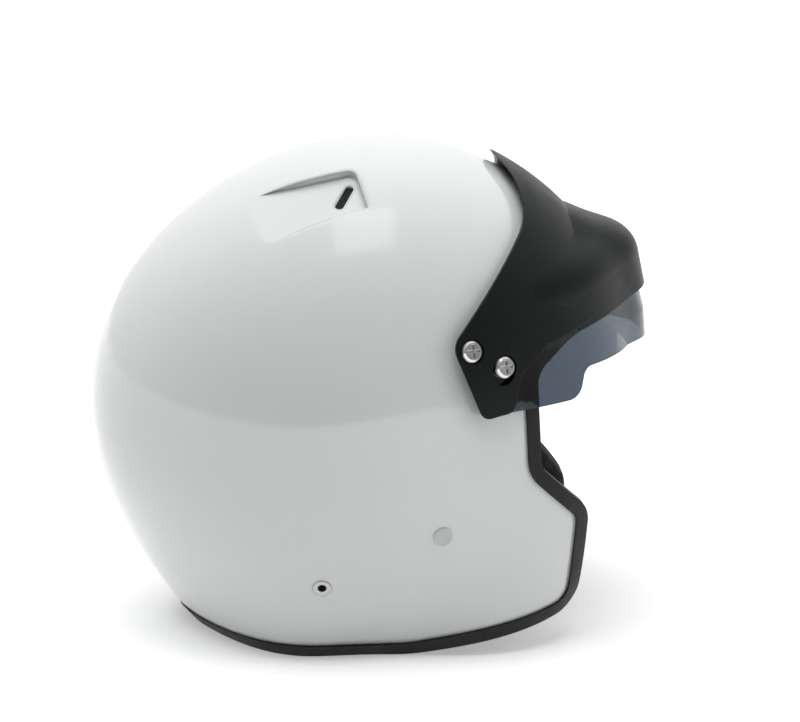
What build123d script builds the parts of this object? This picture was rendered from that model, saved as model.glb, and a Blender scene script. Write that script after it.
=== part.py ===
from build123d import *
from math import cos, hypot, radians, sin
import os

os.makedirs("parts", exist_ok=True)

# Open-face racing helmet with a tilting peak and a short tinted lens.
# Units are millimetres. +X is forward, +Y is the wearer's left, +Z is up.
# The helmet rests on its rim: z = 0 is the underside of the edge trim.

# Shell form: ellipses that stand in planes fanned about a line across the helmet, under the floor
fan_x = -20.0
fan_z = -70.0
shell_reach = 356.0
shell_width = 246.0
fan_lean_limit_share = 3.0

# Each row is a fan angle in degrees, then shares of the reach, of the half width and of the reach
section_shares = [
    (25, 0.348, 0.66, 0.02),
    (35, 0.532, 0.726, 0.02),
    (45, 0.692, 0.782, 0.025),
    (55, 0.825, 0.836, 0.035),
    (65, 0.924, 0.893, 0.05),
    (75, 0.983, 0.957, 0.066),
    (85, 1.0, 1.0, 0.078),
    (95, 0.973, 0.994, 0.083),
    (105, 0.916, 0.933, 0.079),
    (115, 0.834, 0.812, 0.067),
    (125, 0.701, 0.623, 0.051),
    (132, 0.56, 0.445, 0.04),
    (138, 0.4, 0.265, 0.03),
    (142, 0.268, 0.13, 0.024),
]

# Walls, layers and clearances
shell_wall = 3.8
trim_wall = 1.5
trim_leg = 6.5
slip_fit = 0.05
layer_gap = 0.3
overrun = 60.0

# Face opening and rim, seen from the side
rim_bend_radius = 80.0
chin_radius = 17.0
cheek_radius = 16.0
notch_radius = 15.0
port_radius = 15.0
brow_radius = 45.0

# Energy liner and the pads inside it
head_length = 212.0
head_width = 166.0
head_top = 236.0
head_middle = 128.0
head_x = -12.0
liner_low = 42.0
liner_edge_gap = 9.0
pad_thickness = 7.0
crown_pad_low = 214.0
brow_pad_low = 186.0
brow_pad_high = 210.0
brow_pad_rear = 8.0
headband_low = 140.0
headband_high = 170.0
headband_front = 52.0
neck_length = 172.0
neck_width = 146.0
neck_x = -6.0
neck_low = 7.0
neck_high = 40.0
neck_front = -44.0

# Cheek pads: a foam block on the shell and a cushion on the block
cheek_rear = -34.0
cheek_low = 16.0
cheek_high = 132.0
cheek_inset = 3.0
cheek_face = 58.0
block_face = 82.0
ear_radius = 31.0
ear_x = -16.0
ear_z = 108.0
foam_gap = 2.0

# Peak: a band over the shell, a brim and a lip
peak_wall = 2.8
peak_standoff = 4.6
crown_lift = -1.2
brim_pitch = 13.8
brim_tip_x = 161.8
brim_tip_z = 197.0
brim_depth = 106.0
brim_half_width = 97.5
brim_wall = 2.2
lip_height = 18.0
arm_rear_radius = 10.0
arm_tip_radius = 6.0
arm_front_radius = 12.0
rim_sweep_radius = 20.0

# Lens
lens_wall = 1.5
lens_inset = 4.0
lens_corner_radius = 9.0
lens_step_radius = 6.0
lens_depth = 62.0
stud_level = 6.0
stud_radius = 2.0
stud_head_radius = 3.6
stud_head_wall = 1.0

# Tilt pivot and the slot screw beside it
pivot_x = 40.3
pivot_z = 182.5
slot_x = 58.9
slot_z = 172.3
tilt_range = 10.0
shank_radius = 2.45
shank_length = 13.0
head_radius = 5.8
head_height = 2.0
head_edge = 1.1
recess_reach = 3.9
recess_width = 1.7
recess_depth = 1.3
washer_radius = 6.0
washer_wall = 0.6
seat_floor = 0.8
seat_gap = 0.5
pocket_radius = 6.9
bush_radius = 5.0
bush_wall = 1.5
sleeve_radius = 3.0
sleeve_clearance = 0.5
sweep_steps = 5
nut_flange_radius = 8.0
nut_flange_wall = 1.4
nut_barrel_radius = 3.8
nut_pocket_radius = 9.5
nut_pocket_depth = 16.0

# Anchors for a head restraint: M6, with a 5 mm tapped bore
anchor_x = -41.2
anchor_z = 50.6
anchor_bore_radius = 2.5
anchor_flange_radius = 4.9
anchor_flange_wall = 0.8
anchor_seat_depth = 0.4
anchor_barrel_radius = 4.2
anchor_length = 13.0

# Chin strap, its hangers and its rings
rivet_x = 26.0
rivet_z = 79.0
rivet_radius = 2.4
rivet_head_radius = 4.0
rivet_head_wall = 0.6
cover_radius = 5.7
cover_wall = 1.3
cover_chamfer = 0.4
plate_width = 32.0
plate_rise = 9.0
plate_drop = 22.0
plate_wall = 1.5
plate_standoff = 4.5
plate_bar = 3.0
plate_slot_height = 7.0
plate_round = 4.0
strap_width = 25.0
strap_wall = 1.6
hanger_loop_bore = 1.9
strap_bend_radius = 14.0
ring_wire = 1.5
ring_width = 29.0
ring_depth = 23.0
ring_corner = 3.0
ring_pitch = 1.75
loop_bore = 3.55
loop_reach = 94.0
loop_height = 7.0
channel_width = 34.0
channel_gap = 3.0
tail_reach = 100.0
snap_radius = 6.5
snap_height = 2.6
snap_stem_radius = 2.0
snap_cap_wall = 0.8

# Vents
vent_x = -21.7
vent_z = 264.3
vent_width = 5.0
vent_length = 18.0
vent_turn = -18.0
scoop_turn = 20.0
scoop_taper_share = 1.25
duct_margin = 2.0
scoop_width = 30.0
scoop_front = 10.0
scoop_length = 64.0
scoop_depth = 5.0
scoop_fall = 3.0
scoop_round = 5.0
scoop_edge_radius = 2.5
mesh_wall = 0.8
mesh_bar = 0.5
mesh_rows = 9
mesh_columns = 3

half_width = shell_width / 2


def spot(share_x, share_z):
    # a point of a side view outline, as shares of the shell's reach from the fan line
    return (fan_x + share_x * shell_reach, fan_z + share_z * shell_reach)


def fan_lean(row):
    # how much longer a wall is along the fan plane than square to the surface
    low = section_shares[max(row - 1, 0)]
    high = section_shares[min(row + 1, len(section_shares) - 1)]
    slope = (high[1] - low[1]) / radians(high[0] - low[0])
    return min(hypot(1, slope / section_shares[row][1]), fan_lean_limit_share)


def shell_form(inset, lift=0.0):
    # the shell's outer form, drawn in by the inset and raised along the crown line by the lift
    with BuildPart() as form:
        for row, (angle, reach, width, low) in enumerate(section_shares):
            along = (cos(radians(angle)), 0, sin(radians(angle)))
            across = (sin(radians(angle)), 0, -cos(radians(angle)))
            middle = ((reach + low) * shell_reach + lift) / 2
            centre = (fan_x + along[0] * middle, 0, fan_z + along[2] * middle)
            half_reach = ((reach - low) * shell_reach + lift) / 2 - inset * fan_lean(row)
            half_span = width * half_width - inset
            half_reach = max(half_reach, shell_wall)
            half_span = max(half_span, shell_wall)
            with BuildSketch(Plane(origin=centre, x_dir=along, z_dir=across)):
                with BuildLine():
                    for quarter in range(4):
                        EllipticalCenterArc((0, 0), half_reach, half_span, 90 * quarter, arc_size=90)
                make_face()
        loft()
    return form.part


def side_prism(corners, rounds, grow=0.0):
    # a side view outline with rounded corners, run across the helmet
    with BuildPart() as prism:
        with BuildSketch(Plane.XZ) as outline:
            with BuildLine():
                Polyline(*corners, close=True)
            make_face()
            for corner, radius in zip(corners, rounds):
                if radius:
                    fillet(outline.vertices().sort_by_distance(Vector(*corner))[0], radius)
            if grow:
                offset(amount=grow, kind=Kind.INTERSECTION)
        extrude(amount=half_width + overrun, both=True)
    return prism.part


def block(low, high):
    # a plain box between two corners
    with BuildPart() as solid:
        with BuildSketch(Plane.XY.offset(low[2])):
            with Locations(((low[0] + high[0]) / 2, (low[1] + high[1]) / 2)):
                Rectangle(high[0] - low[0], high[1] - low[1])
        extrude(amount=high[2] - low[2])
    return solid.part


# The edge of the shell, seen from the side: rim, chin, cheek, notch, eye port and brow
rim_rear = spot(-0.52, 0)[0]
edge_corners = [
    (rim_rear, trim_wall),
    (spot(0.084, 0)[0], trim_wall),
    spot(0.363, 0.261),
    spot(0.374, 0.427),
    spot(0.287, 0.511),
    spot(0.28, 0.666),
    spot(0.346, 0.713),
    spot(0.54, 0.747),
    spot(0.54, 1.1),
    (rim_rear, spot(0, 1.1)[1]),
]
edge_rounds = [0, rim_bend_radius, chin_radius, cheek_radius, notch_radius, port_radius, brow_radius, 0, 0, 0]

form_outer = shell_form(0)
form_inner = shell_form(shell_wall)
form_liner = shell_form(shell_wall + layer_gap)


def surface_plane(x, z):
    # the plane on the shell's right side at a side view point: it faces out, its x runs level
    hits = form_outer.find_intersection_points(Axis((x, 0, z), (0, -1, 0)))
    point, normal = min(hits, key=lambda hit: hit[0].Y)
    if normal.Y > 0:
        normal = -normal
    return Plane(origin=point, x_dir=Vector(0, 0, 1).cross(normal), z_dir=normal)


def turned(plane, angle):
    # a plane turned about its own normal
    along = plane.x_dir * cos(radians(angle)) + plane.y_dir * sin(radians(angle))
    return Plane(origin=plane.origin, x_dir=along, z_dir=plane.z_dir)


def disc(plane, radius, low, high, hole=0.0, edge=0.0):
    # a round piece on a plane, with an optional bore and a chamfered outer edge
    with BuildPart() as solid:
        with BuildSketch(plane.offset(low)):
            Circle(radius)
            if hole:
                Circle(hole, mode=Mode.SUBTRACT)
        extrude(amount=high - low)
        if edge:
            chamfer(solid.faces().sort_by(Axis(plane.origin, plane.z_dir))[-1].outer_wire().edges(), edge)
    return solid.part


def both_sides(*solids):
    # right side solids and their mirror images on the left
    with BuildPart() as pair:
        for solid in solids:
            add(solid)
        mirror(about=Plane.XZ)
    return pair.part


def finish(solid, name):
    solid.label = name
    export_step(solid, "parts/" + name + ".step")


# Shared side view outlines: shell edge, peak band and lens
band_corners = [
    spot(0.183, 1.067),
    spot(0.2795, 0.937),
    spot(0.288, 0.89),
    spot(0.143, 0.723),
    spot(0.19, 0.608),
    spot(0.242, 0.615),
    spot(0.254, 0.669),
    spot(0.303, 0.708),
    spot(0.548, 0.773),
    spot(0.548, 1.04),
]
band_rounds = [0, rim_sweep_radius, rim_sweep_radius, arm_rear_radius, arm_tip_radius, arm_tip_radius, arm_front_radius, 0, 0, 0]
lens_corners = [
    spot(0.157, 0.722),
    spot(0.295, 0.726),
    spot(0.548, 0.788),
    spot(0.548, 0.663),
    spot(0.371, 0.659),
    spot(0.359, 0.615),
    spot(0.233, 0.612),
    spot(0.219, 0.618),
    spot(0.192, 0.625),
]
lens_rounds = [0, 0, 0, 0, lens_step_radius, lens_corner_radius, arm_tip_radius / 2, 0, 0]

# Plan outline of the brim: shares of its depth behind the nose and of its half width
brim_outline_shares = [(1, 1), (0.61, 0.85), (0.316, 0.61), (0.145, 0.38), (0, 0)]
# Brim levels: shares of the lip height above the lip, then the nose's set back as shares of the depth
lip_level_shares = [(0, 0), (1, -0.005)]
roof_level_shares = [(1, -0.005), (1.35, -0.003), (1.76, 0.028), (2.07, 0.084), (2.7, 0.242), (3.27, 0.403), (3.85, 0.55)]
lens_level_shares = [(0.7, 0), (-0.8, -0.004), (-1.7, 0.02), (-3.4, 0.09)]

brim_plane = Plane(
    origin=(brim_tip_x, 0, brim_tip_z),
    x_dir=(cos(radians(brim_pitch)), 0, sin(radians(brim_pitch))),
    z_dir=(-sin(radians(brim_pitch)), 0, cos(radians(brim_pitch))),
)


def brim_levels(levels, inset, drop, ruled):
    # the brim's plan outline at each level, drawn in by the inset and lowered by the drop
    reach = brim_depth - inset
    span = brim_half_width - inset
    with BuildPart() as solid:
        for level, back in levels:
            nose = -inset - back * brim_depth
            right = [(nose - deep * reach, -wide * span) for deep, wide in brim_outline_shares]
            left = [(u, -v) for u, v in reversed(right)]
            with BuildSketch(brim_plane.offset(level * lip_height - drop)):
                with BuildLine():
                    Spline(*right, tangents=((1, 0.1), (0, 1)))
                    Spline(*left, tangents=((0, 1), (-1, 0.1)))
                    Line(left[-1], right[0])
                make_face()
        loft(ruled=ruled)
    return solid.part


def brim_form(inset, drop):
    # lip and roof of the brim as one solid; a dropped one runs on below the lip
    foot = [(-lens_depth / lip_height if drop else 0, 0)]
    lip = brim_levels(foot + lip_level_shares[1:], inset, drop, True)
    roof = brim_levels(roof_level_shares, inset, drop, False)
    return lip + roof


def reach_along(form, plane):
    # how far out a form's surface lies along a plane's normal
    hits = form.find_intersection_points(Axis(plane.origin, plane.z_dir))
    return max((point - plane.origin).dot(plane.z_dir) for point, normal in hits)


def head_form(inset):
    # the wearer's head, drawn in by the inset: half an ellipsoid over a straight tube
    with BuildPart() as form:
        for share in head_level_shares:
            level = head_middle + (head_top - head_middle - inset) * sin(radians(share * 90))
            with BuildSketch(Plane.XY.offset(level)):
                with BuildLine():
                    for quarter in range(4):
                        EllipticalCenterArc(
                            (head_x, 0),
                            (head_length / 2 - inset) * cos(radians(share * 90)),
                            (head_width / 2 - inset) * cos(radians(share * 90)),
                            90 * quarter,
                            arc_size=90,
                        )
                make_face()
        loft()
        with BuildSketch(Plane.XY.offset(-overrun)):
            with Locations((head_x, 0)):
                Ellipse(head_length / 2 - inset, head_width / 2 - inset)
        extrude(amount=overrun + head_middle)
    return form.part


# Levels of the head's dome, as shares of a right angle
head_level_shares = [0, 0.2, 0.4, 0.6, 0.76, 0.88, 0.97]

pivot_plane = surface_plane(pivot_x, pivot_z)
slot_plane = surface_plane(slot_x, slot_z)
anchor_plane = surface_plane(anchor_x, anchor_z)
rivet_plane = surface_plane(rivet_x, rivet_z)
vent_level = surface_plane(vent_x, vent_z)
vent_plane = turned(vent_level, vent_turn)
scoop_plane = turned(vent_level, scoop_turn)

# Where the peak's arm lies along each screw, and the axis on which the peak tilts
arm_inner_form = shell_form(-peak_standoff, crown_lift)
arm_outer_form = shell_form(-peak_standoff - peak_wall, crown_lift)
pivot_seat = reach_along(arm_inner_form, pivot_plane) + seat_floor
slot_seat = reach_along(arm_inner_form, slot_plane) + seat_floor
hinge_point = pivot_plane.origin + pivot_plane.z_dir * pivot_seat
hinge_axis = Axis((hinge_point.X, 0, hinge_point.Z), (0, 1, 0))


def scoop_tool(grow):
    # the recess behind a vent: deepest at its front step, wider and shallower to the rear
    rear = scoop_front - scoop_length
    side = Plane(origin=scoop_plane.origin, x_dir=scoop_plane.x_dir, z_dir=scoop_plane.y_dir)
    with BuildPart() as tool:
        with BuildSketch(side):
            with BuildLine():
                Polyline(
                    (scoop_front + grow, -overrun),
                    (scoop_front + grow, scoop_depth + grow),
                    (rear, scoop_depth + scoop_fall + grow),
                    (rear, -overrun),
                    close=True,
                )
            make_face()
        extrude(amount=scoop_width, both=True)
        with BuildSketch(scoop_plane.offset(-overrun / 2)) as plan:
            with BuildLine():
                Polyline(
                    (scoop_front + grow, scoop_width / 2 + grow),
                    (rear, scoop_width * scoop_taper_share / 2 + grow),
                    (rear, -scoop_width * scoop_taper_share / 2 - grow),
                    (scoop_front + grow, -scoop_width / 2 - grow),
                    close=True,
                )
            make_face()
            fillet(plan.vertices().group_by(Axis(scoop_plane.origin, scoop_plane.x_dir))[-1], scoop_round)
        extrude(amount=overrun, mode=Mode.INTERSECT)
    return tool.part


def slot_tool(length, width, low, high):
    # a vent slot's prism through the shell
    with BuildPart() as tool:
        with BuildSketch(vent_plane.offset(low)):
            RectangleRounded(width, length, vent_width * 0.45)
        extrude(amount=high - low)
    return tool.part


def on_scoop_rim(edge):
    # whether an edge lies where a scoop's walls meet the shell's outer surface
    middle = edge.position_at(0.5)
    local = scoop_plane.to_local_coords(Vector(middle.X, -abs(middle.Y), middle.Z))
    inside = local.X < scoop_front + slip_fit and abs(local.Y) < scoop_width * scoop_taper_share / 2
    return inside and shell_skin.distance_to(middle) < slip_fit


# Shell: a moulded wall with two scoops, cut by the edge outline and drilled
shell_skin = form_outer.faces().sort_by(SortBy.AREA)[-1]
with BuildPart() as outer_shell:
    add(form_outer)
    add(form_inner, mode=Mode.SUBTRACT)
    add(both_sides(scoop_tool(shell_wall)), mode=Mode.ADD)
    add(form_outer, mode=Mode.INTERSECT)
    add(side_prism(edge_corners, edge_rounds), mode=Mode.INTERSECT)
    add(both_sides(scoop_tool(0)), mode=Mode.SUBTRACT)
    fillet([edge for edge in outer_shell.edges() if on_scoop_rim(edge)], scoop_edge_radius)
    add(
        both_sides(
            slot_tool(vent_length, vent_width, -overrun / 2, overrun / 2),
            disc(pivot_plane, nut_barrel_radius + slip_fit, -overrun / 4, overrun / 4),
            disc(slot_plane, nut_barrel_radius + slip_fit, -overrun / 4, overrun / 4),
            disc(anchor_plane, anchor_barrel_radius + slip_fit, -overrun / 4, overrun / 4),
            disc(anchor_plane, anchor_flange_radius + slip_fit, -anchor_seat_depth, overrun / 4),
            disc(rivet_plane, rivet_radius + slip_fit, -overrun / 4, overrun / 4),
        ),
        mode=Mode.SUBTRACT,
    )
finish(outer_shell.part, "outer_shell")

# Edge trim: a rubber section that grips the shell's edge from both sides
form_trim_inner = shell_form(shell_wall + trim_wall + slip_fit)
with BuildPart() as groove:
    add(shell_form(-slip_fit))
    add(shell_form(shell_wall + slip_fit), mode=Mode.SUBTRACT)
    add(side_prism(edge_corners, edge_rounds, slip_fit), mode=Mode.INTERSECT)

with BuildPart() as edge_trim:
    add(shell_form(-trim_wall - slip_fit))
    add(form_trim_inner, mode=Mode.SUBTRACT)
    add(side_prism(edge_corners, edge_rounds, trim_wall), mode=Mode.INTERSECT)
    add(side_prism(edge_corners, edge_rounds, -trim_leg), mode=Mode.SUBTRACT)
    add(groove.part, mode=Mode.SUBTRACT)
finish(edge_trim.part, "edge_trim")

# Room for what passes through the foam: vents, scoops, nuts and anchors
liner_ducts = both_sides(
    scoop_tool(shell_wall + layer_gap),
    slot_tool(vent_length + duct_margin, vent_width + duct_margin, -overrun, 0),
)
liner_pockets = both_sides(
    disc(pivot_plane, nut_pocket_radius, -nut_pocket_depth, 0),
    disc(slot_plane, nut_pocket_radius, -nut_pocket_depth, 0),
    disc(anchor_plane, anchor_barrel_radius + foam_gap, -anchor_length - foam_gap, 0),
)

# Impact liner: fills the space between the shell and the head, above the cheek pads
with BuildPart() as impact_liner:
    add(form_liner)
    add(side_prism(edge_corners, edge_rounds, -liner_edge_gap), mode=Mode.INTERSECT)
    add(head_form(0), mode=Mode.SUBTRACT)
    add(block((-shell_reach, -half_width, -overrun), (shell_reach, half_width, liner_low)), mode=Mode.SUBTRACT)
    add(
        block((cheek_rear - foam_gap, -half_width, 0), (shell_reach, half_width, cheek_high + foam_gap)),
        mode=Mode.SUBTRACT,
    )
    add(liner_ducts, mode=Mode.SUBTRACT)
    add(liner_pockets, mode=Mode.SUBTRACT)
finish(impact_liner.part, "impact_liner")


def head_pad(low, high):
    # a comfort pad on the inside of the liner, between two corners
    with BuildPart() as pad:
        add(head_form(layer_gap))
        add(head_form(layer_gap + pad_thickness), mode=Mode.SUBTRACT)
        add(block(low, high), mode=Mode.INTERSECT)
    return pad.part


crown_pad = head_pad((-shell_reach, -half_width, crown_pad_low), (shell_reach, half_width, shell_reach))
finish(crown_pad, "crown_pad")
brow_pad = head_pad((brow_pad_rear, -half_width, brow_pad_low), (shell_reach, half_width, brow_pad_high))
finish(brow_pad, "brow_pad")
headband_pad = head_pad((-shell_reach, -half_width, headband_low), (headband_front, half_width, headband_high))
finish(headband_pad, "headband_pad")

# Neck roll: a padded band along the rear rim
form_pads = shell_form(shell_wall + trim_wall + slip_fit + layer_gap)
with BuildPart() as neck_roll:
    add(form_pads)
    add(block((-shell_reach, -half_width, neck_low), (neck_front, half_width, neck_high)), mode=Mode.INTERSECT)
    with BuildSketch():
        with Locations((neck_x, 0)):
            Ellipse(neck_length / 2, neck_width / 2)
    extrude(amount=shell_reach, mode=Mode.SUBTRACT)
finish(neck_roll.part, "neck_roll")

# Strap path, seen along the rivet plane's level direction: s runs inward, z runs up
strap_plane = Plane(
    origin=(rivet_plane.origin.X, rivet_plane.origin.Y, 0),
    x_dir=Vector(0, 0, 1).cross(rivet_plane.x_dir),
    z_dir=rivet_plane.x_dir,
)
hang_depth = shell_wall + plate_standoff + plate_wall / 2
bar_drop = plate_drop - plate_bar / 2
bar_point = rivet_plane.origin - rivet_plane.y_dir * bar_drop - rivet_plane.z_dir * hang_depth
bar_local = strap_plane.to_local_coords(bar_point)
bar_spot = (bar_local.X, bar_local.Y)
hanger_bend = hanger_loop_bore + strap_wall / 2
loop_spot = (loop_reach, loop_height)
run_level = loop_height - loop_bore - strap_wall / 2
bend_level = run_level + strap_bend_radius


def strap_line(end):
    # the strap's middle line, from its upper loop down the shell and in to the end
    first = (bar_spot[0] + hanger_bend, bar_spot[1])
    low = (first[0] + strap_bend_radius * 2, run_level)
    with BuildLine() as line:
        FilletPolyline(first, (first[0] + strap_bend_radius, bend_level), low, end, radius=strap_bend_radius / 2)
    return line.line


def strap_body(end, looped):
    # webbing with a loop round the hanger's bar, and one round the rings at its end if looped
    path = strap_line(end)
    with BuildPart() as strap:
        with BuildSketch(strap_plane):
            trace(path, line_width=strap_wall)
            with Locations(bar_spot):
                Circle(hanger_bend + strap_wall / 2)
            if looped:
                with Locations(loop_spot):
                    Circle(loop_bore + strap_wall)
                    Circle(loop_bore, mode=Mode.SUBTRACT)
            with Locations(bar_spot):
                Circle(hanger_loop_bore, mode=Mode.SUBTRACT)
        extrude(amount=strap_width / 2, both=True)
    return strap.part


# Room for the strap and its hanger in the cheek block
with BuildPart() as strap_channel:
    with BuildSketch(strap_plane):
        with BuildLine():
            Polyline(
                (-channel_width, rivet_z + plate_rise + channel_gap),
                (bar_spot[0] + strap_wall, rivet_z + plate_rise + channel_gap),
                (bar_spot[0] + hanger_bend + strap_wall + channel_gap, bar_spot[1]),
                (bar_spot[0] + hanger_bend + strap_bend_radius + channel_gap, bend_level + channel_gap),
                (bar_spot[0] + channel_width, 0),
                (-channel_width, 0),
                close=True,
            )
        make_face()
    extrude(amount=channel_width / 2, both=True)

# Cheek pads: each has a foam block against the shell and a cushion towards the face
cheek_corners = [
    (cheek_rear, cheek_low),
    spot(0.2, 0.2415),
    spot(0.316, 0.262),
    spot(0.345, 0.3),
    spot(0.352, 0.475),
    spot(0.331, 0.507),
    spot(0.285, 0.567),
    (cheek_rear, cheek_high),
]
with BuildPart() as cheek_block_right:
    add(form_pads)
    add(side_prism(edge_corners, edge_rounds, -cheek_inset), mode=Mode.INTERSECT)
    add(block((cheek_rear, -half_width, cheek_low), (shell_reach, -block_face, cheek_high)), mode=Mode.INTERSECT)
    add(strap_channel.part, mode=Mode.SUBTRACT)
    add(disc(anchor_plane, anchor_barrel_radius + foam_gap, -overrun, 0), mode=Mode.SUBTRACT)
finish(cheek_block_right.part, "cheek_block_right")

with BuildPart() as cheek_cushion_right:
    with BuildSketch(Plane.XZ.offset(cheek_face)) as cushion_outline:
        with BuildLine():
            Polyline(*cheek_corners, close=True)
        make_face()
        fillet(cushion_outline.vertices(), radius=pad_thickness)
        with Locations((ear_x, ear_z)):
            Circle(ear_radius, mode=Mode.SUBTRACT)
    extrude(amount=block_face - layer_gap - cheek_face)
    fillet(cheek_cushion_right.faces().sort_by(Axis.Y)[-1].outer_wire().edges(), pad_thickness)
    add(shell_form(shell_wall + trim_wall + layer_gap + layer_gap), mode=Mode.INTERSECT)
finish(cheek_cushion_right.part, "cheek_cushion_right")
with BuildPart() as cheek_block_left:
    mirror(cheek_block_right.part, about=Plane.XZ)
finish(cheek_block_left.part, "cheek_block_left")
with BuildPart() as cheek_cushion_left:
    mirror(cheek_cushion_right.part, about=Plane.XZ)
finish(cheek_cushion_left.part, "cheek_cushion_left")


def swept_round(plane, radius, low, high):
    # the room a fixed round piece needs in the peak while the peak tilts
    piece = disc(plane, radius, low, high)
    with BuildPart() as room:
        for step in range(sweep_steps + 1):
            add(piece.rotate(hinge_axis, tilt_range * step / sweep_steps))
    return room.part


# Peak: band and arms off the shell, with a hollow brim in front
hole_radius = sleeve_radius + sleeve_clearance
peak_holes = both_sides(
    disc(pivot_plane, pocket_radius, pivot_seat, pivot_seat + overrun / 4),
    swept_round(slot_plane, pocket_radius, slot_seat, slot_seat + overrun / 4),
    disc(pivot_plane, hole_radius, 0, pivot_seat + overrun / 4),
    swept_round(slot_plane, hole_radius, 0, slot_seat + overrun / 4),
)
brim_outer = brim_form(0, 0)
brim_inner = brim_form(brim_wall, brim_wall)
with BuildPart() as peak:
    add(arm_outer_form)
    add(side_prism(band_corners, band_rounds), mode=Mode.INTERSECT)
    add(brim_outer)
    add(arm_inner_form, mode=Mode.SUBTRACT)
    add(brim_inner, mode=Mode.SUBTRACT)
    add(peak_holes, mode=Mode.SUBTRACT)
finish(peak.part, "peak")

# Lens: hangs inside the lip and wraps back along the face opening
lens_standoff = trim_wall + slip_fit + layer_gap + layer_gap
nose_stud = Plane(
    origin=brim_plane.from_local_coords((-lens_inset - lens_wall, 0, stud_level)),
    x_dir=(0, 1, 0),
    z_dir=brim_plane.x_dir,
)


def lens_solid(inset, standoff):
    # what lies inside one of the lens's two faces
    with BuildPart() as solid:
        add(shell_form(-standoff))
        add(brim_levels(lens_level_shares, inset, 0, True))
    return solid.part


with BuildPart() as lens:
    add(lens_solid(lens_inset, lens_standoff + lens_wall))
    add(side_prism(lens_corners, lens_rounds), mode=Mode.INTERSECT)
    add(lens_solid(lens_inset + lens_wall, lens_standoff), mode=Mode.SUBTRACT)
    add(peak_holes, mode=Mode.SUBTRACT)
    add(disc(nose_stud, stud_radius + slip_fit, -lens_wall, lens_wall * 2), mode=Mode.SUBTRACT)
finish(lens.part, "lens")

with BuildPart() as lens_stud:
    add(disc(nose_stud, stud_head_radius, -stud_head_wall, 0))
    add(disc(nose_stud, stud_radius, 0, lens_wall + lens_inset - brim_wall - slip_fit))
finish(lens_stud.part, "lens_stud")


def peak_screw(plane, seat):
    # a pan head screw with a cross recess; its shank ends in the nut
    top = seat + seat_gap + washer_wall
    with BuildPart() as screw:
        add(disc(plane, shank_radius, top - shank_length, top))
        add(disc(plane, head_radius, top, top + head_height, edge=head_edge))
        with BuildSketch(plane.offset(top + head_height)):
            Rectangle(recess_reach * 2, recess_width)
            Rectangle(recess_width, recess_reach * 2)
        extrude(amount=-recess_depth, mode=Mode.SUBTRACT)
    return screw.part


def peak_bush(plane, seat):
    # a flanged sleeve: it keeps the arm off the shell and carries the washer
    with BuildPart() as bush:
        add(disc(plane, bush_radius, 0, bush_wall, shank_radius + slip_fit))
        add(disc(plane, sleeve_radius, bush_wall, seat + seat_gap, shank_radius + slip_fit))
    return bush.part


def peak_washer(plane, seat):
    return disc(plane, washer_radius, seat + seat_gap, seat + seat_gap + washer_wall, shank_radius + slip_fit)


def peak_nut(plane):
    # a flanged nut in the shell wall, its flange inside
    flange = -shell_wall - layer_gap - slip_fit
    with BuildPart() as nut:
        add(disc(plane, nut_flange_radius, flange - nut_flange_wall, flange, shank_radius + slip_fit))
        add(disc(plane, nut_barrel_radius, flange, -layer_gap, shank_radius + slip_fit))
    return nut.part


finish(both_sides(peak_screw(pivot_plane, pivot_seat)), "pivot_screws")
finish(both_sides(peak_screw(slot_plane, slot_seat)), "slot_screws")
finish(both_sides(peak_bush(pivot_plane, pivot_seat), peak_bush(slot_plane, slot_seat)), "peak_bushes")
finish(both_sides(peak_washer(pivot_plane, pivot_seat), peak_washer(slot_plane, slot_seat)), "peak_washers")
finish(both_sides(peak_nut(pivot_plane), peak_nut(slot_plane)), "peak_nuts")

# Anchor inserts: flanged tubes with a tapped bore
anchor_face = anchor_flange_wall - anchor_seat_depth
with BuildPart() as anchor:
    add(disc(anchor_plane, anchor_barrel_radius, -anchor_length, -anchor_seat_depth, anchor_bore_radius))
    add(disc(anchor_plane, anchor_flange_radius, -anchor_seat_depth, anchor_face, anchor_bore_radius))
finish(both_sides(anchor.part), "anchor_inserts")

# Strap rivets, their covers and the hangers
plate_out = -shell_wall - plate_standoff
plate_in = plate_out - plate_wall
with BuildPart() as rivet:
    add(disc(rivet_plane, rivet_head_radius, 0, rivet_head_wall))
    add(disc(rivet_plane, rivet_radius, plate_in, 0))
    add(disc(rivet_plane, rivet_head_radius, plate_out + slip_fit, -shell_wall - layer_gap / 2))
    add(disc(rivet_plane, rivet_head_radius, plate_in - rivet_head_wall, plate_in))
finish(both_sides(rivet.part), "strap_rivets")
with BuildPart() as cover:
    add(disc(rivet_plane, cover_radius, 0, cover_wall, edge=cover_chamfer))
    add(disc(rivet_plane, rivet_head_radius + slip_fit, 0, rivet_head_wall + slip_fit), mode=Mode.SUBTRACT)
finish(both_sides(cover.part), "rivet_covers")
with BuildPart() as hanger:
    with BuildSketch(rivet_plane.offset(plate_in)):
        with Locations((0, (plate_rise - plate_drop) / 2)):
            RectangleRounded(plate_width, plate_rise + plate_drop, plate_round)
        with Locations((0, plate_bar + plate_slot_height / 2 - plate_drop)):
            RectangleRounded(strap_width + plate_bar / 2, plate_slot_height, plate_bar / 3, mode=Mode.SUBTRACT)
        Circle(rivet_radius + slip_fit, mode=Mode.SUBTRACT)
    extrude(amount=plate_wall)
finish(both_sides(hanger.part), "strap_hangers")

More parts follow.
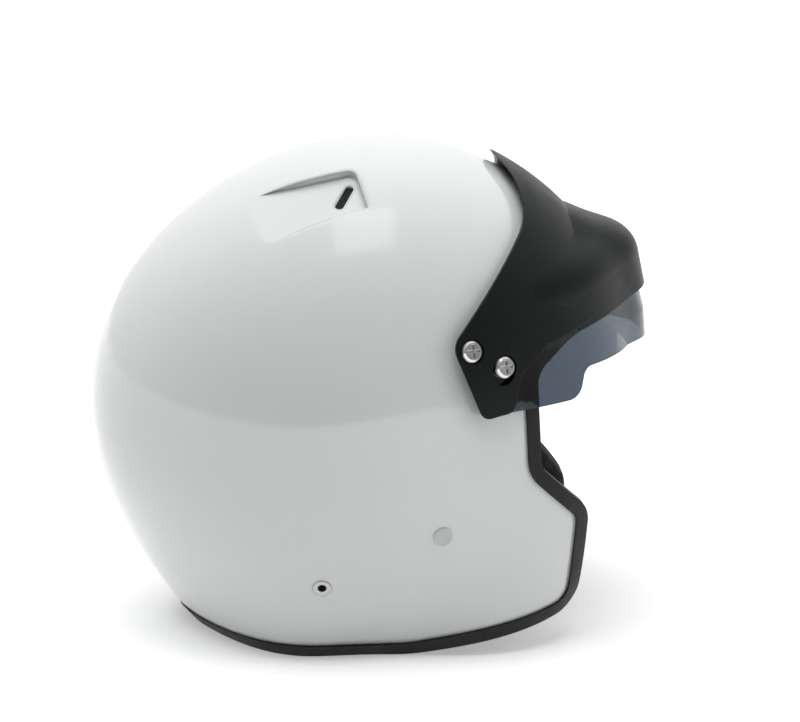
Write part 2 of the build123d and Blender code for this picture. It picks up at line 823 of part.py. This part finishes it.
# Chin strap: the right half ends in a loop for the rings, the left half is the loose tail
chin_strap_right = strap_body((loop_spot[0], run_level), True)
finish(chin_strap_right, "chin_strap_right")
tail = Plane(
    origin=strap_plane.from_local_coords((tail_reach - strap_width / 2, run_level, 0)),
    x_dir=strap_plane.z_dir,
    z_dir=(0, 0, 1),
)
snap_low = -strap_wall / 2 - snap_cap_wall
with BuildPart() as tail_strap:
    add(strap_body((tail_reach, run_level), False))
    add(disc(tail, snap_stem_radius + slip_fit, snap_low, strap_wall), mode=Mode.SUBTRACT)
with BuildPart() as tail_snap:
    add(disc(tail, snap_radius, strap_wall / 2, strap_wall / 2 + snap_height, edge=snap_cap_wall / 2))
    add(disc(tail, snap_stem_radius, -strap_wall / 2, strap_wall / 2))
    add(disc(tail, rivet_head_radius, snap_low, -strap_wall / 2))
with BuildPart() as chin_strap_left:
    mirror(tail_strap.part, about=Plane.XZ)
finish(chin_strap_left.part, "chin_strap_left")
with BuildPart() as strap_snap:
    mirror(tail_snap.part, about=Plane.XZ)
finish(strap_snap.part, "strap_snap")


def d_ring(rise):
    # a D of round wire; its straight bar lies in the strap's loop
    plane = Plane(
        origin=strap_plane.from_local_coords((loop_spot[0], loop_spot[1] + rise, 0)),
        x_dir=-strap_plane.z_dir,
        z_dir=(0, 0, -1),
    )
    half = ring_width / 2
    side = ring_depth - half
    with BuildPart() as ring:
        with BuildLine(plane) as path:
            Line((ring_corner - half, 0), (half - ring_corner, 0))
            RadiusArc((half - ring_corner, 0), (half, ring_corner), -ring_corner)
            Line((half, ring_corner), (half, side))
            ThreePointArc((half, side), (0, ring_depth), (-half, side))
            Line((-half, side), (-half, ring_corner))
            RadiusArc((-half, ring_corner), (ring_corner - half, 0), -ring_corner)
        with BuildSketch(Plane(origin=path.line @ 0, z_dir=path.line % 0)):
            Circle(ring_wire)
        sweep(path=path.line)
    return ring.part


finish(d_ring(-ring_pitch), "d_ring_lower")
finish(d_ring(ring_pitch), "d_ring_upper")

# Vent meshes: thin punched plates in the vent slots
mesh_level = -scoop_depth - mesh_wall * 2
mesh_pitch_long = (vent_length - vent_width / 2) / mesh_rows
mesh_pitch_wide = (vent_width - mesh_bar) / mesh_columns
with BuildPart() as vent_mesh:
    add(slot_tool(vent_length - slip_fit * 2, vent_width - slip_fit * 2, mesh_level - mesh_wall, mesh_level))
    with BuildSketch(vent_plane.offset(mesh_level)):
        with GridLocations(mesh_pitch_wide, mesh_pitch_long, mesh_columns, mesh_rows):
            Rectangle(mesh_pitch_wide - mesh_bar, mesh_pitch_long - mesh_bar)
    extrude(amount=-mesh_wall, mode=Mode.SUBTRACT)
finish(both_sides(vent_mesh.part), "vent_meshes")
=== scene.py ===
from math import cos, radians, sin, tau

import bmesh
import bpy
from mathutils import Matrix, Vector


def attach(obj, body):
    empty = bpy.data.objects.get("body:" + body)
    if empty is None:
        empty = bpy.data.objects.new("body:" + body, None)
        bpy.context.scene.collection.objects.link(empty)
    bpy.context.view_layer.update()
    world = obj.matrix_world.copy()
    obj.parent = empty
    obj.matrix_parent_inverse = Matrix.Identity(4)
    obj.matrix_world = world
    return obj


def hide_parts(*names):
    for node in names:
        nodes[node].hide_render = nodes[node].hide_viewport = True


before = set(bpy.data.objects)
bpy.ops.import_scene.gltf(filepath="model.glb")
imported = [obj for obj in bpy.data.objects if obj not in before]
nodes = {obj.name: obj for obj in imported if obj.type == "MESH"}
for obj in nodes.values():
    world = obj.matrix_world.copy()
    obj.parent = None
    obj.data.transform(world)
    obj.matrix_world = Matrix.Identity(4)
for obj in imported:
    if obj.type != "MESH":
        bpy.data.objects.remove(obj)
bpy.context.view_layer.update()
scene = bpy.context.scene

# Shader helpers

# A noise texture stays mostly inside these shares of its range
gloss_band = (0.3, 0.7)
tone_band = (0.35, 0.65)
# A wave texture of scale 1 turns this many radians in a metre
wave_rate = 20


def shader(name):
    """A new node material, its tree and its Principled shader."""
    mat = bpy.data.materials.new(name)
    mat.use_nodes = True
    tree = mat.node_tree
    return mat, tree, tree.nodes["Principled BSDF"]


def add_node(tree, kind, **values):
    """A new node; each value sets the input of that name, or else the property."""
    node = tree.nodes.new(kind)
    for key, value in values.items():
        if key in node.inputs:
            node.inputs[key].default_value = value
        else:
            setattr(node, key, value)
    return node


def combine(tree, operation, first, second):
    """Two outputs put through one Math node."""
    node = add_node(tree, "ShaderNodeMath", operation=operation)
    tree.links.new(first, node.inputs[0])
    tree.links.new(second, node.inputs[1])
    return node.outputs["Value"]


def ramp_between(tree, value, start, end, low, high):
    """low up to start, high from end on, and an even slope between."""
    node = tree.nodes.new("ShaderNodeMapRange")
    for key, number in (("From Min", start), ("From Max", end), ("To Min", low), ("To Max", high)):
        node.inputs[key].default_value = number
    tree.links.new(value, node.inputs["Value"])
    return node.outputs["Result"]


def coords(tree, scale=(1, 1, 1)):
    source = tree.nodes.new("ShaderNodeTexCoord")
    mapping = add_node(tree, "ShaderNodeMapping", Scale=scale)
    tree.links.new(source.outputs["Object"], mapping.inputs["Vector"])
    return mapping.outputs["Vector"]


def noise(tree, vector, scale, detail=4.0):
    node = add_node(tree, "ShaderNodeTexNoise", Scale=scale, Detail=detail)
    tree.links.new(vector, node.inputs["Vector"])
    return node.outputs["Fac"]


def two_tone(tree, value, dark, light):
    """A colour between dark and light, by a value that a noise gives."""
    ramp = tree.nodes.new("ShaderNodeValToRGB")
    for stop, place, colour in zip(ramp.color_ramp.elements, tone_band, (dark, light)):
        stop.position = place
        stop.color = (*colour, 1)
    tree.links.new(value, ramp.inputs["Fac"])
    return ramp.outputs["Color"]


def uneven_gloss(tree, bsdf, value, rough):
    """Roughness between the two ends of rough, by a value that a noise gives."""
    low, high = rough
    tree.links.new(ramp_between(tree, value, *gloss_band, low, high), bsdf.inputs["Roughness"])


def relief(tree, bsdf, height, strength, distance, rounding=0.0):
    """Bump from a height, over normals that are rounded at sharp edges."""
    bump = add_node(tree, "ShaderNodeBump", Strength=strength, Distance=distance)
    tree.links.new(height, bump.inputs["Height"])
    if rounding:
        edge = add_node(tree, "ShaderNodeBevel", Radius=rounding, samples=6)
        tree.links.new(edge.outputs["Normal"], bump.inputs["Normal"])
    tree.links.new(bump.outputs["Normal"], bsdf.inputs["Normal"])


# Kinds of material


def grained(name, dark, light, rough, patch, grain, depth, rounding=0.0, **sockets):
    """Painted or moulded surface: slow colour drift, uneven gloss and a fine grain."""
    gloss_patch_share = 6
    mat, tree, bsdf = shader(name)
    vector = coords(tree)
    tree.links.new(two_tone(tree, noise(tree, vector, patch), dark, light), bsdf.inputs["Base Color"])
    uneven_gloss(tree, bsdf, noise(tree, vector, patch * gloss_patch_share), rough)
    fine = noise(tree, vector, grain, detail=2.0)
    relief(tree, bsdf, fine, strength=1.0, distance=depth, rounding=rounding)
    for key, value in sockets.items():
        bsdf.inputs[key.replace("_", " ")].default_value = value
    return mat


def woven(name, dark, light, pitch, depth, sheen):
    """Cloth: threads crossed along three axes, with a faded nap."""
    mat, tree, bsdf = shader(name)
    vector = coords(tree)
    tree.links.new(two_tone(tree, noise(tree, vector, 35), dark, light), bsdf.inputs["Base Color"])
    waves = []
    for direction in ("X", "Y", "Z"):
        wave = add_node(tree, "ShaderNodeTexWave", Scale=tau / wave_rate / pitch, Distortion=0.4,
                        bands_direction=direction)
        tree.links.new(vector, wave.inputs["Vector"])
        waves.append(wave.outputs["Fac"])
    threads = waves[0]
    for wave in waves[1:]:
        threads = combine(tree, "MULTIPLY", threads, wave)
    relief(tree, bsdf, threads, strength=0.8, distance=depth)
    uneven_gloss(tree, bsdf, noise(tree, vector, 300), rough=(0.8, 0.95))
    bsdf.inputs["Sheen Weight"].default_value = sheen
    bsdf.inputs["Sheen Roughness"].default_value = 0.45
    return mat


def beaded(name, dark, light, size):
    """Expanded foam: packed beads with sunk joints."""
    joint_share = 0.3
    mat, tree, bsdf = shader(name)
    vector = coords(tree)
    cells = add_node(tree, "ShaderNodeTexVoronoi", Scale=1 / size)
    tree.links.new(vector, cells.inputs["Vector"])
    tree.links.new(two_tone(tree, noise(tree, vector, 80), dark, light), bsdf.inputs["Base Color"])
    relief(tree, bsdf, cells.outputs["Distance"], strength=0.6, distance=-size * joint_share)
    uneven_gloss(tree, bsdf, noise(tree, vector, 200), rough=(0.75, 0.9))
    return mat


def brushed(name, dark, light, rough):
    """Metal with fine level lines."""
    line_scale = (1, 1, 12)
    mat, tree, bsdf = shader(name)
    lines = noise(tree, coords(tree, line_scale), 900, detail=3.0)
    tree.links.new(two_tone(tree, lines, dark, light), bsdf.inputs["Base Color"])
    uneven_gloss(tree, bsdf, lines, rough)
    relief(tree, bsdf, lines, strength=0.5, distance=0.00001, rounding=0.0003)
    bsdf.inputs["Metallic"].default_value = 1.0
    return mat


def smoked(name, tint, rough):
    """Clear tinted plastic with faint level wipe marks."""
    wipe_scale = (1, 1, 5)
    mat, tree, bsdf = shader(name)
    vector = coords(tree, wipe_scale)
    bsdf.inputs["Base Color"].default_value = (*tint, 1)
    bsdf.inputs["Transmission Weight"].default_value = 1.0
    bsdf.inputs["IOR"].default_value = 1.45
    uneven_gloss(tree, bsdf, noise(tree, vector, 40), rough)
    marks = noise(tree, vector, 260, detail=1.0)
    relief(tree, bsdf, marks, strength=0.15, distance=0.00001)
    return mat


# Materials: patch and grain are noise scales per metre, the other sizes are in metres

paint = grained(
    "shell_paint", dark=(0.73, 0.765, 0.755), light=(0.765, 0.795, 0.785), rough=(0.16, 0.22),
    patch=6.0, grain=420, depth=0.000012, rounding=0.005, Coat_Weight=0.9, Coat_Roughness=0.05)
rubber = grained(
    "trim_rubber", dark=(0.005, 0.005, 0.0055), light=(0.009, 0.009, 0.0095), rough=(0.42, 0.56),
    patch=30.0, grain=1500, depth=0.00003, rounding=0.0014, Specular_IOR_Level=0.3)
peak_plastic = grained(
    "peak_plastic", dark=(0.0035, 0.0045, 0.005), light=(0.005, 0.0062, 0.0068), rough=(0.36, 0.44),
    patch=14.0, grain=1900, depth=0.00002, rounding=0.0009, Specular_IOR_Level=0.22)
cap_plastic = grained(
    "cap_plastic", dark=(0.60, 0.63, 0.61), light=(0.66, 0.68, 0.66), rough=(0.35, 0.45),
    patch=60.0, grain=900, depth=0.00002, rounding=0.0004)
mesh_plastic = grained(
    "mesh_plastic", dark=(0.010, 0.010, 0.011), light=(0.022, 0.022, 0.023), rough=(0.35, 0.5),
    patch=80.0, grain=1500, depth=0.00002)
foam = beaded("liner_foam", dark=(0.012, 0.012, 0.013), light=(0.022, 0.022, 0.024), size=0.0032)
knit = woven(
    "lining_knit", dark=(0.008, 0.008, 0.009), light=(0.016, 0.016, 0.018),
    pitch=0.0016, depth=0.0004, sheen=0.25)
piping_knit = woven(
    "piping_knit", dark=(0.014, 0.014, 0.015), light=(0.024, 0.024, 0.026),
    pitch=0.0009, depth=0.0003, sheen=0.3)
webbing = woven(
    "strap_webbing", dark=(0.010, 0.010, 0.011), light=(0.018, 0.018, 0.020),
    pitch=0.0012, depth=0.0004, sheen=0.15)
plated = brushed("bright_plate", dark=(0.62, 0.62, 0.63), light=(0.78, 0.78, 0.79), rough=(0.12, 0.24))
steel = brushed("plain_steel", dark=(0.42, 0.42, 0.43), light=(0.55, 0.55, 0.56), rough=(0.28, 0.42))
smoke = smoked("smoke_lens", tint=(0.055, 0.075, 0.10), rough=(0.015, 0.05))

finishes = {
    "outer_shell": paint, "edge_trim": rubber, "impact_liner": foam,
    "cheek_block_right": foam, "cheek_block_left": foam,
    "peak": peak_plastic, "lens": smoke, "lens_stud": peak_plastic,
    "pivot_screws": plated, "slot_screws": plated, "peak_washers": plated,
    "peak_bushes": steel, "peak_nuts": steel, "anchor_inserts": steel,
    "strap_rivets": steel, "rivet_covers": cap_plastic, "strap_hangers": steel,
    "d_ring_lower": plated, "d_ring_upper": plated, "strap_snap": plated,
    "vent_meshes": mesh_plastic, "chin_strap_right": webbing, "chin_strap_left": webbing,
    "crown_pad": knit, "brow_pad": knit, "headband_pad": knit, "neck_roll": knit,
    "cheek_cushion_right": knit, "cheek_cushion_left": knit,
}
for name, mat in finishes.items():
    data = nodes[name].data
    data.materials.clear()
    data.materials.append(mat)

# Making pieces


def new_object(name, data):
    made = bpy.data.objects.new(name, data)
    scene.collection.objects.link(made)
    return made


def bake(piece):
    """Apply the piece's modifiers to its mesh."""
    ready = piece.evaluated_get(bpy.context.evaluated_depsgraph_get())
    mesh = bpy.data.meshes.new_from_object(ready)
    piece.modifiers.clear()
    piece.data = mesh


def dress(piece, mat, body, stands_for):
    """Finish, smooth shading, the body it rides on and the node it stands for."""
    piece.data.materials.clear()
    piece.data.materials.append(mat)
    for face in piece.data.polygons:
        face.use_smooth = True
    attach(piece, body)
    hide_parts(stands_for)


# Soft pieces


def inflate(piece, cap):
    """Blow the piece up as cloth, with no point moved further than cap."""
    last_frame = 20
    rest = [v.co.copy() for v in piece.data.vertices]
    cloth = piece.modifiers.new("cloth", "CLOTH")
    cloth.settings.use_pressure = True
    cloth.settings.uniform_pressure_force = 4
    cloth.settings.effector_weights.gravity = 0
    cloth.collision_settings.use_collision = False
    cloth.point_cache.frame_start = 1
    cloth.point_cache.frame_end = last_frame
    for step in range(1, last_frame + 1):
        scene.frame_set(step)
    bake(piece)
    for v, r in zip(piece.data.vertices, rest):
        move = v.co - r
        if move.length > cap:
            v.co = r + move.normalized() * cap
    scene.frame_set(1)


def plump(node, voxel, cap):
    """A pad made from a CAD solid: softened, blown up a little, then subdivided."""
    piece = new_object(node + "_soft", nodes[node].data.copy())
    remesh = piece.modifiers.new("voxels", "REMESH")
    remesh.mode = "VOXEL"
    remesh.voxel_size = voxel
    soften = piece.modifiers.new("soften", "SMOOTH")
    soften.factor = 0.5
    soften.iterations = 8
    bake(piece)
    inflate(piece, cap)
    fine = piece.modifiers.new("fine", "SUBSURF")
    fine.levels = 1
    bake(piece)
    dress(piece, knit, "helmet", node)
    return piece


def loops_where_cut(mesh, point, normal):
    """The closed chains of points where a plane cuts a mesh."""
    cut = bmesh.new()
    cut.from_mesh(mesh)
    result = bmesh.ops.bisect_plane(
        cut, geom=cut.verts[:] + cut.edges[:] + cut.faces[:], plane_co=point, plane_no=normal,
        clear_inner=False, clear_outer=False)
    edges = [g for g in result["geom_cut"] if isinstance(g, bmesh.types.BMEdge)]
    links = {}
    for edge in edges:
        for v in edge.verts:
            links.setdefault(v, []).append(edge)
    loops = []
    unused = dict.fromkeys(edges)
    while unused:
        edge = next(iter(unused))
        chain = list(edge.verts)
        while edge:
            del unused[edge]
            edge = next((e for e in links[chain[-1]] if e in unused), None)
            if edge:
                chain.append(edge.other_vert(chain[-1]))
        loops.append([v.co.copy() for v in chain])
    cut.free()
    return loops


def piping(name, piece, point, normal, radius):
    """A sewn cord round a pad, where a plane cuts its surface."""
    shortest_loop = 20
    every = 3
    curve = bpy.data.curves.new(name, "CURVE")
    curve.dimensions = "3D"
    curve.bevel_depth = radius
    curve.bevel_resolution = 3
    for loop in loops_where_cut(piece.data, point, normal):
        if len(loop) < shortest_loop:
            continue
        run = loop[:-1:every]
        spline = curve.splines.new("NURBS")
        spline.points.add(len(run) - 1)
        for spot, co in zip(spline.points, run):
            spot.co = (*co, 1)
        spline.use_cyclic_u = True
        spline.order_u = 3
    trim = new_object(name, curve)
    trim.data.materials.append(piping_knit)
    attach(trim, "helmet")


cheek_seam_y = 0.0655
neck_seam_z = 0.013
for side, sign in (("right", -1), ("left", 1)):
    cushion = plump("cheek_cushion_" + side, voxel=0.004, cap=0.004)
    piping("cheek_piping_" + side, cushion, (0, sign * cheek_seam_y, 0), (0, 1, 0), radius=0.0011)
plump("crown_pad", voxel=0.004, cap=0.003)
plump("brow_pad", voxel=0.003, cap=0.002)
plump("headband_pad", voxel=0.004, cap=0.003)
roll = plump("neck_roll", voxel=0.004, cap=0.004)
piping("neck_piping", roll, (0, 0, neck_seam_z), (0, 0, 1), radius=0.0012)

# Edge trim: the rubber section with its corners rounded

weld_gap = 0.00002
flat_angle = radians(2)
corner_angle = radians(40)
trim_rounding = 0.0013

edge_trim = new_object("edge_trim_round", nodes["edge_trim"].data.copy())
weld = bmesh.new()
weld.from_mesh(edge_trim.data)
bmesh.ops.remove_doubles(weld, verts=weld.verts, dist=weld_gap)
bmesh.ops.dissolve_limit(weld, angle_limit=flat_angle, verts=weld.verts, edges=weld.edges)
weld.to_mesh(edge_trim.data)
weld.free()
rounding = edge_trim.modifiers.new("rounding", "BEVEL")
rounding.limit_method = "ANGLE"
rounding.angle_limit = corner_angle
rounding.width = trim_rounding
rounding.segments = 4
rounding.miter_outer = "MITER_ARC"
bake(edge_trim)
dress(edge_trim, rubber, "helmet", "edge_trim")

# Chin strap: webbing along an upright plane, square to the shell's side at the strap's rivet.
# In that plane s runs inward and z runs up, and a path's points are (s, z).
strap_turn = radians(10.44042)
strap_origin = Vector((0.026, -0.114272, 0))
strap_in = Vector((-sin(strap_turn), cos(strap_turn), 0))
strap_across = Vector((cos(strap_turn), sin(strap_turn), 0))
strap_half = 0.0124
strap_wall = 0.0015
hanger_bar = (0.012677, 0.060522)
hanger_radius = 0.0027
ring_bar = (0.094, 0.007)
ring_loop_radius = 0.00435
run_z = ring_bar[1] - ring_loop_radius
tail_s = 0.100
bend_reach = 0.014
bend_rounding = 0.008
# The sewn-down end behind the band, from the point where the band leaves the hanger's bar
sewn_end = ((0.0034, -0.016), (0.0018, -0.006))
# The band's section: shares of its half width, and of its thickness there
across_shares = (-1, -0.93, -0.8, -0.4, 0, 0.4, 0.8, 0.93, 1)
thick_shares = (0.35, 0.8, 1, 0.94, 0.97, 0.94, 1, 0.8, 0.35)


def arc(centre, radius, start, end, steps):
    """Points on an arc in the strap's plane, angles in degrees."""
    points = []
    for step in range(steps + 1):
        angle = radians(start + (end - start) * step / steps)
        points.append((centre[0] + radius * cos(angle), centre[1] + radius * sin(angle)))
    return points


def rounded_run(points, radius, steps=6):
    """A polyline with its inner corners rounded by short curves."""
    longest_share = 0.45
    run = [points[0]]
    for before, corner, after in zip(points, points[1:], points[2:]):
        middle = Vector(corner)
        back = Vector(before) - middle
        on = Vector(after) - middle
        reach = min(radius, back.length * longest_share, on.length * longest_share)
        first = middle + back.normalized() * reach
        last = middle + on.normalized() * reach
        for step in range(steps + 1):
            t = step / steps
            q = first * (1 - t) ** 2 + middle * 2 * t * (1 - t) + last * t ** 2
            run.append((q.x, q.y))
    run.append(points[-1])
    return run


def section(path, k):
    """The points round the band at the path's point k."""
    before = Vector(path[max(k - 1, 0)])
    after = Vector(path[min(k + 1, len(path) - 1)])
    along = (after - before).normalized()
    normal = Vector((-along.y, along.x))
    spots = list(zip(across_shares, thick_shares))
    round_trip = [(1, spot) for spot in spots] + [(-1, spot) for spot in reversed(spots)]
    points = []
    for face, (across, thick) in round_trip:
        q = Vector(path[k]) + normal * face * strap_wall / 2 * thick
        middle = strap_origin + strap_in * q.x + Vector((0, 0, q.y))
        points.append(middle + strap_across * across * strap_half)
    return points


def ribbon(name, path, side, node):
    """Webbing along a path: a flat band with thin woven edges, on the right for side 1."""
    build = bmesh.new()
    rows = []
    for k in range(len(path)):
        rows.append([build.verts.new((co.x, side * co.y, co.z)) for co in section(path, k)])
    for row, beyond in zip(rows, rows[1:]):
        for n in range(len(row)):
            m = (n + 1) % len(row)
            build.faces.new((row[n], row[m], beyond[m], beyond[n]))
    build.faces.new(rows[0])
    build.faces.new(reversed(rows[-1]))
    bmesh.ops.recalc_face_normals(build, faces=build.faces)
    mesh = bpy.data.meshes.new(name)
    build.to_mesh(mesh)
    build.free()
    dress(new_object(name, mesh), webbing, "helmet", node)


leave_s = hanger_bar[0] + hanger_radius
hanger_loop = [(leave_s + s, hanger_bar[1] + z) for s, z in sewn_end]
hanger_loop += arc(hanger_bar, hanger_radius, start=15, end=345, steps=20)
down = [
    (leave_s, hanger_bar[1]),
    (leave_s + bend_reach, run_z + bend_reach),
    (leave_s + bend_reach * 2, run_z),
]
ring_loop = arc(ring_bar, ring_loop_radius, start=-90, end=225, steps=22)
right_path = hanger_loop + rounded_run(down + [(ring_bar[0], run_z)], bend_rounding)[1:-1] + ring_loop
left_path = hanger_loop + rounded_run(down + [(tail_s, run_z)], bend_rounding)[1:]
ribbon("strap_right", right_path, 1, "chin_strap_right")
ribbon("strap_left", left_path, -1, "chin_strap_left")

# Stage, light and camera

scene.view_settings.view_transform = "Standard"


def ray_share(tree):
    """1 for the rays that see the surroundings: camera, glossy and transmission."""
    path = tree.nodes.new("ShaderNodeLightPath")
    total = path.outputs["Is Camera Ray"]
    for name in ("Is Glossy Ray", "Is Transmission Ray"):
        total = combine(tree, "MAXIMUM", total, path.outputs[name])
    return total


def blend_by(tree, share, first, second):
    """first where share is 0, second where it is 1."""
    node = add_node(tree, "ShaderNodeMix", data_type="FLOAT")
    tree.links.new(share, node.inputs["Factor"])
    tree.links.new(first, node.inputs["A"])
    tree.links.new(second, node.inputs["B"])
    return node.outputs["Result"]


def studio_world():
    """A room that is pale behind the object and dim on the photographer's side."""
    world = bpy.data.worlds.new("studio")
    world.use_nodes = True
    scene.world = world
    tree = world.node_tree
    background = tree.nodes["Background"]
    direction = tree.nodes.new("ShaderNodeSeparateXYZ")
    source = tree.nodes.new("ShaderNodeTexCoord")
    tree.links.new(source.outputs["Generated"], direction.inputs["Vector"])
    depth = direction.outputs["Y"]
    lighting = ramp_between(tree, depth, start=-1.0, end=0.6, low=0.06, high=0.58)
    mirrored = ramp_between(tree, depth, start=-1.0, end=0.3, low=0.10, high=1.0)
    level = blend_by(tree, ray_share(tree), lighting, mirrored)
    seen = tree.nodes.new("ShaderNodeLightPath").outputs["Is Camera Ray"]
    tree.links.new(combine(tree, "MAXIMUM", level, seen), background.inputs["Strength"])
    background.inputs["Color"].default_value = (1, 1, 1, 1)


def floor_finish():
    """Pale matt floor that is lifted to white away from the object, for the rays that see it."""
    mat, tree, bsdf = shader("floor_pale")
    bsdf.inputs["Base Color"].default_value = (0.93, 0.93, 0.93, 1)
    bsdf.inputs["Roughness"].default_value = 0.9
    bsdf.inputs["Specular IOR Level"].default_value = 0.1
    bsdf.inputs["Emission Color"].default_value = (1, 1, 1, 1)
    away = add_node(tree, "ShaderNodeVectorMath", operation="LENGTH")
    tree.links.new(coords(tree), away.inputs[0])
    far_lift = ramp_between(tree, away.outputs["Value"], start=0.5, end=2.5, low=0.35, high=1.0)
    lift = combine(tree, "MULTIPLY", ray_share(tree), far_lift)
    tree.links.new(lift, bsdf.inputs["Emission Strength"])
    return mat


def softbox(name, place, target, size, power, mirrored=True):
    light = bpy.data.lights.new(name, "AREA")
    light.shape = "RECTANGLE"
    light.size, light.size_y = size
    light.energy = power
    lamp = new_object(name, light)
    lamp.location = place
    lamp.rotation_euler = (Vector(target) - Vector(place)).to_track_quat("-Z", "Y").to_euler()
    lamp.visible_glossy = mirrored


floor_side = 12
studio_world()
bpy.ops.mesh.primitive_plane_add(size=floor_side, location=(0, 0, 0))
floor = bpy.context.object
floor.name = "floor"
floor.data.materials.append(floor_finish())

shell_middle = (0, 0, 0.15)
shell_top = (0, 0, 0.25)
softbox("top_box", (-0.1, 0.0, 1.7), shell_middle, size=(1.8, 1.6), power=23, mirrored=False)
softbox("small_box", (0.0, -0.5, 1.65), shell_top, size=(0.6, 0.6), power=1.5)
softbox("front_box", (1.5, -0.6, 0.9), shell_middle, size=(0.7, 0.9), power=4, mirrored=False)

azimuth = radians(-8)
elevation = radians(15)
distance = 1.6
aim = Vector((0.018, 0, 0.150))
eye = Vector((sin(azimuth) * cos(elevation), -cos(azimuth) * cos(elevation), sin(elevation)))
optics = bpy.data.cameras.new("camera")
optics.lens = 122.4
optics.sensor_width = 36
camera = new_object("camera", optics)
camera.location = aim + eye * distance
camera.rotation_euler = (-eye).to_track_quat("-Z", "Y").to_euler()
scene.camera = camera
